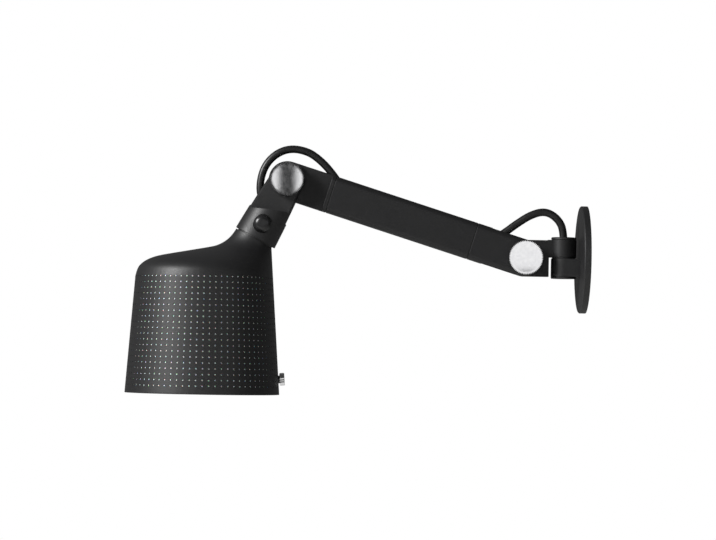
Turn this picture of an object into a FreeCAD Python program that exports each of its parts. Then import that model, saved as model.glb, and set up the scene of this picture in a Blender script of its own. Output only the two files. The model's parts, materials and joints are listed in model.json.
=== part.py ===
"""Articulating wall lamp, in millimetres.

The wall is the plane X = 0 and the lamp reaches out to -X, with +Z up. The origin is the centre
of the wall plate's back. The front of every piece, with the clamp knobs, faces -Y.

Three frames are used. The wall frame is the part's own. The arm frame has its origin at the wall
pivot and runs along -X to the elbow. The head frame has its origin at the elbow, and the shade
swivels about its Z axis.
"""

import FreeCAD, Part
import math
import os

from FreeCAD import Placement, Rotation, Vector

# ---- Where the joints are ----
hinge_reach = 21.0  # wall to the upright hinge axis
pivot_reach = 36.7  # hinge axis to the wall pivot
pivot_rise = 0.55  # wall pivot above the centre of the plate
arm_length = 232.4  # wall pivot to elbow
arm_rise = 17.12  # degrees, the arm's slope at rest
head_lean = 28.0  # degrees, the swivel axis away from upright at rest
collar_reach = 61.3  # elbow to the end of the collar

# ---- Fits ----
running_clearance = 0.05  # radial, a shaft that turns in its hole
seat_clearance = 0.1  # a piece that sits in another and stays there
joint_play = 0.05  # along an axis, between faces that turn on each other

# ---- Wall plate ----
cover_radius = 50.0
cover_depth = 6.2
cover_front_wall = 1.8
cover_rim_wall = 3.0
cover_chamfer = 0.8
plate_thickness = 3.2
plate_hole_radius = 16.5
plate_slot_spacing = 60.0
plate_slot_radius = 2.6
plate_slot_length = 12.0
cover_screw_radius = 1.5
cover_screw_length = 3.8
cover_screw_bite = 1.2  # how far the screw enters the plate's edge

# ---- Hinge ----
barrel_radius = 11.8
lower_barrel_height = 18.9  # with its plug
upper_barrel_height = 16.8
barrel_washer_thickness = 0.8
hinge_level = 1.3  # the plane between the barrels
hinge_tube_radius = 5.0
hinge_tube_bore = 4.0
hinge_bush_wall = 1.4
hinge_nut_radius = 8.6
hinge_nut_height = 3.4
knuckle_web = 4.4
knuckle_cavity_radius = 8.0
knuckle_screw_radius = 2.0
knuckle_screw_head_radius = 3.3
knuckle_screw_head_height = 2.0
knuckle_screw_length = 8.0
knuckle_screw_offset = 7.8
plug_height = 1.8
plug_spigot_height = 2.2
plug_groove = 0.5
gland_height = 2.0
gland_radius = 11.7
gland_edge = 0.5
tongue_gap = 2.4  # between the lower barrel and the block's tongue
edge_break = 0.6  # small chamfers and roundings on castings

# ---- Arm ----
arm_height = 35.0
arm_width = 20.0
arm_corner = 6.0
tube_wall = 1.6
fork_reach = 51.0  # wall pivot to the seam between fork and tube
fork_slot_depth = 37.0  # wall pivot to the root of the fork's slot
spigot_length = 26.0  # how far each end casting reaches into the tube
tongue_reach = 39.0  # elbow to the tongue's shoulder
ring_width = 4.0  # the full section between shoulder and tube
seam_bevel = 0.5
cord_channel_radius = 4.6
cord_channel_level = 3.0  # above the arm's centre line
mouth_cone_depth = 5.0  # flared end of the fork's cord channel
mouth_lead_rise = 8.0  # groove above that flare, where the cord comes down into it
mouth_lead_run = 10.0
cord_groove_half = 4.2
groove_start = 32.0  # elbow to where the cord's groove opens in the top of the tongue
groove_end = 60.0  # elbow to where that groove reaches its full depth
notch_length = 8.0  # the opening in the tube's top behind the ring
arm_screw_radius = 2.0
arm_screw_length = 4.0
arm_screw_inset = 8.0

# ---- Clamped pivots ----
tongue_thickness = 11.8
pivot_washer_thickness = 0.45
pivot_washer_radius = 15.0
block_tongue_radius = 17.0
bolt_radius = 4.0
bolt_head_radius = 8.0
bolt_head_height = 3.2
bolt_thread_in_knob = 7.5
knob_radius = 15.6
knob_band = 8.6
knob_neck_radius = 9.0
knob_neck_length = 2.9
knob_teeth = 62
knob_tooth_depth = 0.75
knob_chamfer = 0.7

# ---- Head ----
yoke_width = 20.0
yoke_end_radius = 17.0
collar_radius = 20.5
yoke_bulge = 0.35  # how far the yoke's sides swell beyond a straight taper
ledge_level = 32.4  # elbow to the ledge under the flat faces, on the swivel axis
ledge_slope = 21.2  # degrees between the ledge and a plane square to the swivel axis
yoke_slot_depth = 37.0
swivel_hole_radius = 8.05
swivel_hole_top = 41.0  # elbow to the top of the hole for the spigot
swivel_washer_thickness = 0.5
swivel_flange_radius = 17.8
swivel_flange_thickness = 0.65
spigot_groove_half = 3.2
spigot_groove_depth = 1.4
spigot_mouth_radius = 6.0
spigot_mouth_depth = 3.4
nipple_radius = 5.0
nipple_bore = 3.75
nipple_end = 78.0  # elbow to the nipple's end
lock_level = 47.2  # elbow to the locking screw
lock_screw_radius = 3.0
lock_dome_radius = 8.3
lock_dome_height = 6.6
lock_dome_rounding = 5.6
lock_seat = 18.4  # swivel axis to the flat that the dome sits on
lock_shank_gap = 0.3  # between the dome and its flat

# ---- Shade ----
shade_axis_offset = 75.5  # elbow to the shade's upright axis, along X
shade_rim_drop = 199.86  # elbow down to the rim
shade_rim_radius = 71.8
shade_taper = 4.14  # degrees
shade_wall = 1.6
shoulder_drop = 15.0  # how far down the wall the shoulder's rounding starts
shoulder_run = 26.0  # how far along the top it ends
wall_section_step = 4.0  # spacing of the sections that carry the wall into the shoulder
shade_top_slope = 10.5  # degrees
shade_top_offset = 101.7  # elbow to a point of the top's line, along X
shade_top_drop = 69.16  # elbow down to that point
neck_blend_radius = 32.0
neck_inner_blend_radius = 26.0
neck_inset = 0.8  # the neck is this much smaller than the collar
neck_top_wall = 2.2
rim_lip = 1.6
rim_lip_height = 1.4
sleeve_wall = 0.8
sleeve_gap = 0.25
sleeve_height = 108.0
spigot_nut_radius = 8.5
spigot_nut_height = 3.0
holder_radius = 14.0
holder_length = 46.0
holder_wall = 2.0
bulb_cap_radius = 7.0
bulb_cap_length = 22.0
bulb_radius = 22.5
bulb_reach = 62.0  # the bulb's length outside the lampholder

# ---- Dimmer ----
dimmer_level = 14.3  # above the rim
dimmer_neck_radius = 3.6
dimmer_neck_gap = 1.1
dimmer_knob_radius = 5.9
dimmer_knob_length = 4.5
dimmer_knob_teeth = 18
dimmer_knob_tooth_depth = 0.5
dimmer_body_radius = 8.0
dimmer_body_depth = 7.5
dimmer_shaft_radius = 2.0
dimmer_lead_radius = 1.4
lead_straight = 7.0  # how far the lead stands out of the dimmer and of the lampholder
lead_entry = 12.0  # the lampholder's top to the lead
lead_route = [(-306.0, -113.0), (-306.6, -103.0), (-304.9, -86.0), (-300.6, -58.0), (-299.2, -34.0)]

# ---- Cord ----
cord_radius = 3.6
cord_wall_level = -10.2  # height of the cord's hole in the wall cover
cord_wall_bend = 6.7
hinge_cord_split = 8.0  # height of the cut between the wall run and the wall loop
cord_in_holder = 7.0  # how far the cord reaches into the lampholder
cord_span_gap = 0.05  # between the run inside the arm and the loops
head_cord_gap = 0.3  # between the elbow loop and the run that turns with the shade
# The loops' routes, X and Z. Each starts and ends where its neighbour's route does.
wall_loop_route = [
    (-21.0, 8.0), (-21.0, 26.5), (-26.8, 38.0), (-38.4, 44.9), (-51.8, 41.4),
    (-65.5, 32.4), (-77.8, 22.8), (-88.85, 16.63), (-98.39, 16.22), (-107.95, 19.17),
]
elbow_loop_route = [
    (-209.15, 50.34), (-220.14, 53.72), (-227.60, 61.77), (-240.66, 79.44), (-251.34, 89.76),
    (-261.64, 96.20), (-276.33, 98.79), (-289.14, 94.62), (-299.37, 84.75), (-304.50, 72.05),
    (-305.43, 56.55), (-299.26, 42.16), (-298.58, 33.64), (-302.57, 26.14),
]

# ---- What follows from the sizes above ----
slot_half = tongue_thickness / 2 + pivot_washer_thickness + joint_play
wall_pivot = Vector(-(hinge_reach + pivot_reach), 0, pivot_rise)
elbow = wall_pivot + Rotation(Vector(0, 1, 0), arm_rise).multVec(Vector(-arm_length, 0, 0))
arm_frame = Placement(wall_pivot, Rotation(Vector(0, 1, 0), arm_rise))
head_frame = Placement(elbow, Rotation(Vector(0, 1, 0), head_lean))
shade_axis_x = elbow.x - shade_axis_offset
shade_rim_z = elbow.z - shade_rim_drop
hinge_x = -hinge_reach
upper_barrel_bottom = hinge_level + barrel_washer_thickness / 2
lower_barrel_top = hinge_level - barrel_washer_thickness / 2
upper_barrel_top = upper_barrel_bottom + upper_barrel_height
lower_barrel_bottom = lower_barrel_top - lower_barrel_height
neck_top = collar_reach + swivel_washer_thickness + swivel_flange_thickness + joint_play


# ---- Plain solids ----
def box(x0, x1, y0, y1, z0, z1):
    return Part.makeBox(x1 - x0, y1 - y0, z1 - z0, Vector(x0, y0, z0))


def rod_x(y, z, radius, x0, x1):
    return Part.makeCylinder(radius, x1 - x0, Vector(x0, y, z), Vector(1, 0, 0))


def rod_y(x, z, radius, y0, y1):
    return Part.makeCylinder(radius, y1 - y0, Vector(x, y0, z), Vector(0, 1, 0))


def rod_z(x, y, radius, z0, z1):
    return Part.makeCylinder(radius, z1 - z0, Vector(x, y, z0), Vector(0, 0, 1))


def turned(profile, start=Vector(0, 0, 0), axis=Vector(0, 0, 1)):
    """A turned solid: profile is (radius, distance along the axis) all the way round."""
    points = [Vector(r, 0, h) for r, h in profile]
    face = Part.Face(Part.makePolygon(points + [points[0]]))
    solid = face.revolve(Vector(0, 0, 0), Vector(0, 0, 1), 360)
    solid.Placement = Placement(start, Rotation(Vector(0, 0, 1), axis))
    return solid


def plate_xz(points, half):
    """A plate whose outline lies in the XZ plane, half thick to each side."""
    corners = [Vector(x, -half, z) for x, z in points]
    face = Part.Face(Part.makePolygon(corners + [corners[0]]))
    return face.extrude(Vector(0, 2 * half, 0))


def rounded_bar(x0, x1, width, height, corner):
    """A bar along X with rounded long edges."""
    bar = box(x0, x1, -width / 2, width / 2, -height / 2, height / 2)
    along = [e for e in bar.Edges if abs(e.tangentAt(e.FirstParameter).x) > 0.99]
    return bar.makeFillet(corner, along)


def rounded_disc(radius, width, corner):
    """A disc about the Y axis with rounded edges, the end of a bar of the same section."""
    disc = rod_y(0, 0, radius, -width / 2, width / 2)
    rims = [e for e in disc.Edges if isinstance(e.Curve, Part.Circle)]
    return disc.makeFillet(corner, rims)


def one(shape):
    """The solid inside a boolean's result, with its seams cleaned."""
    return shape.removeSplitter().Solids[0]


def knurled_disc(radius, teeth, depth, length, chamfer):
    """A disc along Z with V-shaped teeth on its edge and both ends bevelled."""
    corners = []
    for i in range(2 * teeth):
        r = radius if i % 2 == 0 else radius - depth
        angle = math.pi * i / teeth
        corners.append(Vector(r * math.cos(angle), r * math.sin(angle), 0))
    band = Part.Face(Part.makePolygon(corners + [corners[0]])).extrude(Vector(0, 0, length))
    blank = turned([
        (0, 0), (radius - chamfer, 0), (radius, chamfer),
        (radius, length - chamfer), (radius - chamfer, length), (0, length),
    ])
    return band.common(blank)


# ---- Cord ----
def cord_path(points):
    """Straight runs joined by the largest tangent arcs that the runs allow."""
    edges = []
    last = points[0]
    for before, corner, after in zip(points, points[1:], points[2:]):
        into = corner - before
        out = after - corner
        turn = into.getAngle(out)
        room = 0.45 * min(into.Length, out.Length)
        radius = room / math.tan(turn / 2)
        to_middle = (out.normalize() - into.normalize()).normalize()
        start = corner - into * room
        end = corner + out * room
        middle = corner + to_middle * (radius / math.cos(turn / 2) - radius)
        edges.append(Part.LineSegment(last, start).toShape())
        edges.append(Part.Arc(start, middle, end).toShape())
        print("  cord arc of radius %.1f" % radius)
        last = end
    edges.append(Part.LineSegment(last, points[-1]).toShape())
    return Part.Wire(edges)


def cord_tube(path, radius=cord_radius):
    start = path.Edges[0]
    at, direction = start.valueAt(start.FirstParameter), start.tangentAt(start.FirstParameter)
    section = Part.Wire(Part.makeCircle(radius, at, direction))
    tube = path.makePipeShell([section], True, False)
    expected = math.pi * radius**2 * path.Length
    print("  cord of %.1f mm, volume %.4f of its section" % (path.Length, tube.Volume / expected))
    return tube.Solids[0]


def in_plane(route):
    return [Vector(x, 0, z) for x, z in route]


# ---- Wall body ----
def mounting_plate():
    radius = cover_radius - cover_rim_wall - seat_clearance
    plate = rod_x(0, 0, radius, -plate_thickness, 0)
    plate = plate.cut(rod_x(0, 0, plate_hole_radius, -plate_thickness, 0))
    half = plate_slot_length / 2 - plate_slot_radius
    for side in (-1, 1):
        y = side * plate_slot_spacing / 2
        slot = box(-plate_thickness, 0, y - half, y + half, -plate_slot_radius, plate_slot_radius)
        for end in (y - half, y + half):
            slot = slot.fuse(rod_x(end, 0, plate_slot_radius, -plate_thickness, 0))
        plate = plate.cut(slot)
        notch_end = side * (radius - cover_screw_bite - seat_clearance)
        notch = Part.makeCylinder(
            cover_screw_radius + seat_clearance, cover_rim_wall + cover_screw_bite,
            Vector(-plate_thickness / 2, 0, notch_end), Vector(0, 0, side))
        plate = plate.cut(notch)
    return one(plate)


def wall_cover():
    cover = turned([
        (0, 0), (cover_radius, 0), (cover_radius, cover_depth - cover_chamfer),
        (cover_radius - cover_chamfer, cover_depth), (0, cover_depth),
    ], Vector(0, 0, 0), Vector(-1, 0, 0))
    inner = cover_radius - cover_rim_wall
    cover = cover.cut(rod_x(0, 0, inner, -(cover_depth - cover_front_wall), 0))
    cover = cover.cut(rod_x(0, cord_wall_level, cord_radius + 0.6, -cover_depth, 0))
    for side in (-1, 1):
        y = side * knuckle_screw_offset
        hole = knuckle_screw_radius + seat_clearance
        cover = cover.cut(rod_x(y, cord_wall_level, hole, -cover_depth, 0))
        cover = cover.cut(Part.makeCylinder(
            cover_screw_radius + running_clearance, cover_rim_wall + 2,
            Vector(-plate_thickness / 2, 0, side * (inner - 1)), Vector(0, 0, side)))
    return one(cover)


def cover_screws():
    top = cover_radius - cover_rim_wall - seat_clearance - cover_screw_bite
    return [
        Part.makeCylinder(cover_screw_radius, cover_screw_length,
                          Vector(-plate_thickness / 2, 0, side * top), Vector(0, 0, side))
        for side in (-1, 1)
    ]


def wall_knuckle():
    barrel = rod_z(hinge_x, 0, barrel_radius, lower_barrel_bottom, lower_barrel_top)
    rims = [e for e in barrel.Edges if isinstance(e.Curve, Part.Circle)]
    barrel = barrel.makeChamfer(edge_break, rims)
    foot = box(hinge_x, -cover_depth, -barrel_radius, barrel_radius,
               lower_barrel_bottom + plug_height, lower_barrel_top - edge_break)
    knuckle = barrel.fuse(foot)
    cavity_top = lower_barrel_top - knuckle_web
    knuckle = knuckle.cut(rod_z(hinge_x, 0, knuckle_cavity_radius, lower_barrel_bottom, cavity_top))
    bore = hinge_tube_radius
    knuckle = knuckle.cut(rod_z(hinge_x, 0, bore, cavity_top, lower_barrel_top))
    knuckle = knuckle.cut(rod_x(0, cord_wall_level, cord_radius + 0.6, hinge_x, -cover_depth))
    seat = barrel_radius + 1
    knuckle = knuckle.cut(rod_z(hinge_x, 0, seat, lower_barrel_bottom, lower_barrel_bottom + plug_height))
    for side in (-1, 1):
        hole = rod_x(side * knuckle_screw_offset, cord_wall_level, knuckle_screw_radius,
                     -cover_depth - knuckle_screw_length + cover_front_wall, -cover_depth)
        knuckle = knuckle.cut(hole)
    return one(knuckle)


def knuckle_screws():
    head_x = -(cover_depth - cover_front_wall)
    screws = []
    for side in (-1, 1):
        y = side * knuckle_screw_offset
        shank = rod_x(y, cord_wall_level, knuckle_screw_radius, head_x - knuckle_screw_length, head_x)
        head = rod_x(y, cord_wall_level, knuckle_screw_head_radius, head_x,
                     head_x + knuckle_screw_head_height)
        socket = rod_x(y, cord_wall_level, knuckle_screw_radius * 0.7,
                       head_x + knuckle_screw_head_height / 2, head_x + knuckle_screw_head_height)
        screws.append(one(shank.fuse(head).cut(socket)))
    return screws


def hinge_tube():
    bottom = lower_barrel_top - knuckle_web
    top = upper_barrel_top
    return turned([
        (hinge_tube_bore, bottom), (hinge_tube_radius, bottom),
        (hinge_tube_radius, top), (hinge_tube_bore, top),
    ], Vector(hinge_x, 0, 0))


def hinge_washer():
    return turned([
        (hinge_tube_radius, lower_barrel_top),
        (barrel_radius - 1.0, lower_barrel_top),
        (barrel_radius - 1.0, upper_barrel_bottom - joint_play),
        (hinge_tube_radius, upper_barrel_bottom - joint_play),
    ], Vector(hinge_x, 0, 0))


def hinge_nut():
    top = upper_barrel_top
    return turned([
        (hinge_tube_radius, top - hinge_nut_height),
        (hinge_nut_radius, top - hinge_nut_height),
        (hinge_nut_radius, top), (hinge_tube_radius, top),
    ], Vector(hinge_x, 0, 0))


def hinge_plug():
    bottom = lower_barrel_bottom
    spigot_radius = knuckle_cavity_radius - seat_clearance
    return turned([
        (0, bottom), (barrel_radius - edge_break, bottom),
        (barrel_radius, bottom + edge_break), (barrel_radius, bottom + plug_height - plug_groove),
        (barrel_radius - plug_groove, bottom + plug_height),
        (spigot_radius, bottom + plug_height),
        (spigot_radius, bottom + plug_height + plug_spigot_height),
        (0, bottom + plug_height + plug_spigot_height),
    ], Vector(hinge_x, 0, 0))


# ---- Swivel block ----
def bush_top():
    return upper_barrel_top - hinge_nut_height - 2 * joint_play


def hinge_bush():
    inner = hinge_tube_radius + running_clearance
    return turned([
        (inner, upper_barrel_bottom), (inner + hinge_bush_wall, upper_barrel_bottom),
        (inner + hinge_bush_wall, bush_top()), (inner, bush_top()),
    ], Vector(hinge_x, 0, 0))


def swivel_block():
    barrel = rod_z(hinge_x, 0, barrel_radius, upper_barrel_bottom, upper_barrel_top)
    rims = [e for e in barrel.Edges if isinstance(e.Curve, Part.Circle)]
    barrel = barrel.makeChamfer(edge_break, rims)
    right = hinge_x - barrel_radius - tongue_gap
    disc = rounded_disc(block_tongue_radius, tongue_thickness, edge_break)
    bar = rounded_bar(0, right - wall_pivot.x, tongue_thickness, 2 * block_tongue_radius, edge_break)
    tongue = disc.fuse(bar)
    tongue.translate(wall_pivot)
    web = box(right - 1, hinge_x, -tongue_thickness / 2, tongue_thickness / 2,
              upper_barrel_bottom, upper_barrel_top - edge_break)
    block = tongue.fuse([web, barrel])
    hole = hinge_tube_radius + running_clearance + hinge_bush_wall
    block = block.cut(rod_z(hinge_x, 0, hole, upper_barrel_bottom, upper_barrel_top))
    well = hinge_nut_radius + seat_clearance
    block = block.cut(rod_z(hinge_x, 0, well, bush_top(), upper_barrel_top))
    bolt_hole = bolt_radius + running_clearance
    block = block.cut(rod_y(wall_pivot.x, wall_pivot.z, bolt_hole, -barrel_radius, barrel_radius))
    return one(block)


def barrel_gland():
    base = upper_barrel_top + joint_play
    hole = cord_radius + running_clearance
    return turned([
        (hole, base), (gland_radius, base), (gland_radius, base + gland_height - gland_edge),
        (gland_radius - gland_edge, base + gland_height), (hole, base + gland_height),
    ], Vector(hinge_x, 0, 0))


# ---- Clamped pivots, used at the wall and at the elbow ----
def pivot_washers():
    """Friction washers on both sides of a tongue, about the Y axis."""
    inner = bolt_radius + running_clearance
    start = tongue_thickness / 2 + joint_play / 2
    rings = []
    for side in (-1, 1):
        y0 = min(side * start, side * (start + pivot_washer_thickness))
        y1 = y0 + pivot_washer_thickness
        rings.append(rod_y(0, 0, pivot_washer_radius, y0, y1).cut(rod_y(0, 0, inner, y0, y1)))
    return rings


def pivot_bolt(half_width):
    """A bolt along Y with a low domed head at the back."""
    front = -(half_width + knob_neck_length + bolt_thread_in_knob)
    shank = rod_y(0, 0, bolt_radius, front, half_width)
    bevel = bolt_head_height / 3
    head = turned([
        (0, 0), (bolt_head_radius, 0), (bolt_head_radius, bolt_head_height - bevel),
        (bolt_head_radius - bevel, bolt_head_height), (0, bolt_head_height),
    ], Vector(0, half_width, 0), Vector(0, 1, 0))
    return one(shank.fuse(head))


def clamp_knob(half_width):
    """A knurled knob on the front end of a pivot bolt."""
    band = knurled_disc(knob_radius, knob_teeth, knob_tooth_depth, knob_band, knob_chamfer)
    neck = rod_z(0, 0, knob_neck_radius, -(knob_neck_length - joint_play), 0)
    knob = neck.fuse(band)
    hole = bolt_radius + running_clearance
    hole_depth = bolt_thread_in_knob + seat_clearance
    knob = knob.cut(rod_z(0, 0, hole, -knob_neck_length, hole_depth))
    knob = one(knob)
    knob.Placement = Placement(Vector(0, -(half_width + knob_neck_length), 0),
                               Rotation(Vector(1, 0, 0), 90))
    return knob


# ---- Arm ----
def arm_tube():
    x0 = -(arm_length - tongue_reach - ring_width)
    x1 = -fork_reach
    tube = rounded_bar(x0, x1, arm_width, arm_height, arm_corner)
    ends = [e for e in tube.Edges if abs(e.BoundBox.XLength) < 1e-6]
    tube = tube.makeChamfer(seam_bevel, ends)
    inner_corner = arm_corner - tube_wall
    hollow = rounded_bar(x0, x1, arm_width - 2 * tube_wall, arm_height - 2 * tube_wall, inner_corner)
    notch = box(x0, x0 + notch_length, -cord_groove_half, cord_groove_half, 0, arm_height / 2)
    tube = tube.cut(hollow).cut(notch)
    for x in arm_screw_places():
        tube = tube.cut(rod_z(x, 0, arm_screw_radius + running_clearance, -arm_height / 2, 0))
    return one(tube)


def arm_screw_places():
    return (-(fork_reach + arm_screw_inset),
            -(arm_length - tongue_reach - ring_width - arm_screw_inset))


def arm_screws():
    bottom = -arm_height / 2 + edge_break
    return [rod_z(x, 0, arm_screw_radius, bottom, bottom + arm_screw_length)
            for x in arm_screw_places()]


def tube_spigot(x0, x1):
    inset = 2 * (tube_wall + seat_clearance)
    corner = arm_corner - tube_wall - seat_clearance
    return rounded_bar(x0, x1, arm_width - inset, arm_height - inset, corner)


def screw_pocket(x):
    top = -arm_height / 2 + edge_break + arm_screw_length
    return rod_z(x, 0, arm_screw_radius, -arm_height / 2, top)


def arm_fork():
    end = rounded_disc(arm_height / 2, arm_width, arm_corner)
    bar = rounded_bar(-fork_reach, 0, arm_width, arm_height, arm_corner)
    seam = [e for e in bar.Edges if e.BoundBox.XLength < 1e-6 and e.BoundBox.XMin < -1]
    bar = bar.makeChamfer(seam_bevel, seam)
    spigot = tube_spigot(-(fork_reach + spigot_length), -fork_reach + 1)
    fork = bar.fuse([end, spigot])
    fork = fork.cut(box(-fork_slot_depth, arm_height, -slot_half, slot_half, -arm_height, arm_height))
    channel = rod_x(0, cord_channel_level, cord_channel_radius,
                    -(fork_reach + spigot_length), -fork_slot_depth)
    mouth = turned([
        (0, 0), (slot_half - seat_clearance, 0),
        (cord_channel_radius, mouth_cone_depth), (0, mouth_cone_depth),
    ], Vector(-fork_slot_depth, 0, cord_channel_level), Vector(-1, 0, 0))
    lead_in = plate_xz([
        (-fork_slot_depth, cord_channel_level),
        (-fork_slot_depth, cord_channel_level + mouth_lead_rise),
        (-fork_slot_depth - mouth_lead_run, cord_channel_level),
    ], cord_groove_half)
    fork = fork.cut(channel).cut(mouth).cut(lead_in)
    fork = fork.cut(rod_y(0, 0, bolt_radius + running_clearance, -arm_width, arm_width))
    fork = fork.cut(screw_pocket(arm_screw_places()[0]))
    return one(fork)


def arm_tongue():
    disc = rounded_disc(arm_height / 2, tongue_thickness, edge_break)
    bar = rounded_bar(0, tongue_reach + 1, tongue_thickness, arm_height, edge_break)
    ring = rounded_bar(tongue_reach, tongue_reach + ring_width, arm_width, arm_height, arm_corner)
    ends = [e for e in ring.Edges if e.BoundBox.XLength < 1e-6]
    ring = ring.makeChamfer(seam_bevel, ends)
    start = tongue_reach + ring_width
    spigot = tube_spigot(start - 1, start + spigot_length)
    tongue = disc.fuse([bar, ring, spigot])
    floor = cord_channel_level - cord_channel_radius
    top = arm_height / 2 + 1
    groove = plate_xz([
        (groove_start, top), (groove_start, arm_height / 2 - 2), (groove_end, floor),
        (start + spigot_length + 1, floor), (start + spigot_length + 1, top),
    ], cord_groove_half)
    tongue = tongue.cut(groove)
    tongue = tongue.cut(rod_y(0, 0, bolt_radius + running_clearance, -arm_width, arm_width))
    tongue.translate(Vector(-arm_length, 0, 0))
    return one(one(tongue).cut(screw_pocket(arm_screw_places()[1])))


# ---- Head ----
def yoke_outline():
    """Half the yoke's side view, from the top of its end down to the collar's end."""
    swell = Vector((yoke_end_radius + collar_radius) / 2 + yoke_bulge, 0, -collar_reach / 2)
    top = Vector(0, 0, yoke_end_radius)
    side = Vector(yoke_end_radius, 0, 0)
    quarter = math.sqrt(0.5) * yoke_end_radius
    corner = Vector(collar_radius, 0, -collar_reach)
    bottom = Vector(0, 0, -collar_reach)
    return [
        Part.Arc(top, Vector(quarter, 0, quarter), side).toShape(),
        Part.Arc(side, swell, corner).toShape(),
        Part.LineSegment(corner, bottom).toShape(),
        Part.LineSegment(bottom, top).toShape(),
    ]


def head_yoke():
    half = Part.Face(Part.Wire(yoke_outline()))
    body = half.revolve(Vector(0, 0, 0), Vector(0, 0, 1), 360)
    end = rod_y(0, 0, yoke_end_radius, -yoke_width / 2, yoke_width / 2)
    straight = rod_z(0, 0, yoke_end_radius, -1, yoke_end_radius)
    body = body.fuse(end.common(straight))
    # The flat faces end in a slanted ledge.
    slope = math.tan(math.radians(ledge_slope))
    wide = 2 * collar_radius
    for side in (-1, 1):
        above = plate_xz([
            (-wide, -ledge_level - wide * slope), (wide, -ledge_level + wide * slope),
            (wide, wide), (-wide, wide),
        ], wide / 2)
        above.translate(Vector(0, side * (yoke_width / 2 + wide / 2), 0))
        body = body.cut(above)
    body = body.cut(box(-wide, wide, -slot_half, slot_half, -yoke_slot_depth, wide))
    body = body.cut(rod_z(0, 0, swivel_hole_radius, -collar_reach, -swivel_hole_top))
    mouth = turned([
        (0, -yoke_slot_depth), (slot_half - 0.2, -yoke_slot_depth),
        (cord_radius + 1.2, -swivel_hole_top), (0, -swivel_hole_top),
    ])
    body = body.cut(mouth)
    body = body.cut(rod_y(0, 0, bolt_radius + running_clearance, -wide, wide))
    body = body.cut(rod_y(0, -lock_level, lock_screw_radius + running_clearance, -wide, 0))
    seat = rod_y(0, -lock_level, lock_dome_radius + 0.5, -wide, -lock_seat)
    return one(body.cut(seat))


def head_washer():
    return turned([
        (swivel_hole_radius, -collar_reach), (swivel_flange_radius, -collar_reach),
        (swivel_flange_radius, -collar_reach - swivel_washer_thickness),
        (swivel_hole_radius, -collar_reach - swivel_washer_thickness),
    ])


def head_spigot():
    radius = swivel_hole_radius - running_clearance
    top = -swivel_hole_top - joint_play
    groove_top = -lock_level + spigot_groove_half
    groove_bottom = -lock_level - spigot_groove_half
    groove_radius = radius - spigot_groove_depth
    flange_top = -collar_reach - swivel_washer_thickness - joint_play
    return turned([
        (nipple_bore, top - spigot_mouth_depth), (spigot_mouth_radius, top), (radius, top),
        (radius, groove_top), (groove_radius, groove_top),
        (groove_radius, groove_bottom), (radius, groove_bottom), (radius, flange_top),
        (swivel_flange_radius, flange_top), (swivel_flange_radius, -neck_top),
        (nipple_radius, -neck_top), (nipple_radius, -nipple_end), (nipple_bore, -nipple_end),
    ])


def spigot_nut():
    top = -neck_top - neck_top_wall
    return turned([
        (nipple_radius, top), (spigot_nut_radius, top),
        (spigot_nut_radius, top - spigot_nut_height), (nipple_radius, top - spigot_nut_height),
    ])


def swivel_lock_screw():
    """The locking screw, whose tip stands in the spigot's groove."""
    tip = swivel_hole_radius - running_clearance - spigot_groove_depth + seat_clearance
    base = lock_seat + lock_shank_gap
    r, h = lock_dome_radius, lock_dome_height
    head = rod_z(0, 0, r, base, base + h)
    top_edge = [e for e in head.Edges if e.BoundBox.ZMin > base + h / 2 and e.Closed]
    head = head.makeFillet(lock_dome_rounding, top_edge)
    screw = one(head.fuse(rod_z(0, 0, lock_screw_radius, tip, base + 1)))
    screw.Placement = Placement(Vector(0, 0, -lock_level), Rotation(Vector(1, 0, 0), 90))
    return screw


# ---- Shade ----
def wall_radius(z):
    """Radius of the shade's outer wall at a height."""
    return shade_rim_radius - (z - shade_rim_z) * math.tan(math.radians(shade_taper))


def to_wall_frame(x, z):
    point = head_frame.multVec(Vector(x, 0, z))
    return point.x, point.z


def left_profile(inset, blend_radius):
    """The shade's top left outline, offset inwards: shoulder, top line, blend, neck."""
    taper = math.radians(shade_taper)
    slope = math.radians(shade_top_slope)
    lean = math.radians(90 - head_lean)
    up_wall = Vector(math.sin(taper), 0, math.cos(taper))
    up_top = Vector(math.cos(slope), 0, math.sin(slope))
    up_neck = Vector(math.cos(lean), 0, math.sin(lean))
    in_wall = Vector(up_wall.z, 0, -up_wall.x)
    in_top = Vector(up_top.z, 0, -up_top.x)
    in_neck = Vector(up_neck.z, 0, -up_neck.x)
    wall_base = Vector(shade_axis_x - shade_rim_radius, 0, shade_rim_z) + in_wall * inset
    top_base = Vector(elbow.x - shade_top_offset, 0, elbow.z - shade_top_drop) + in_top * inset
    neck_x, neck_z = to_wall_frame(-(collar_radius - neck_inset), -neck_top)
    neck_base = Vector(neck_x, 0, neck_z) + in_neck * inset
    corner = crossing(wall_base, up_wall, top_base, up_top)
    shoulder = soft_corner(corner - up_wall * (shoulder_drop - inset), corner,
                           corner + up_top * (shoulder_run - inset))
    blend = rounding(top_base, up_top, neck_base, up_neck, blend_radius)
    slope_points = [shoulder[-1] + (blend[0] - shoulder[-1]) * k / 3 for k in (1, 2)]
    return shoulder + slope_points + arc_points(blend, 4), neck_base


def crossing(base_a, dir_a, base_b, dir_b):
    """Where two lines of the XZ plane cross."""
    cross = dir_a.x * dir_b.z - dir_a.z * dir_b.x
    gap = base_b - base_a
    return base_a + dir_a * ((gap.x * dir_b.z - gap.z * dir_b.x) / cross)


def soft_corner(start, corner, end, count=6):
    """Points of a parabola that is tangent to both sides of a corner."""
    points = []
    for i in range(count + 1):
        t = i / count
        points.append(start * (1 - t) ** 2 + corner * (2 * t * (1 - t)) + end * t**2)
    return points


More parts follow.
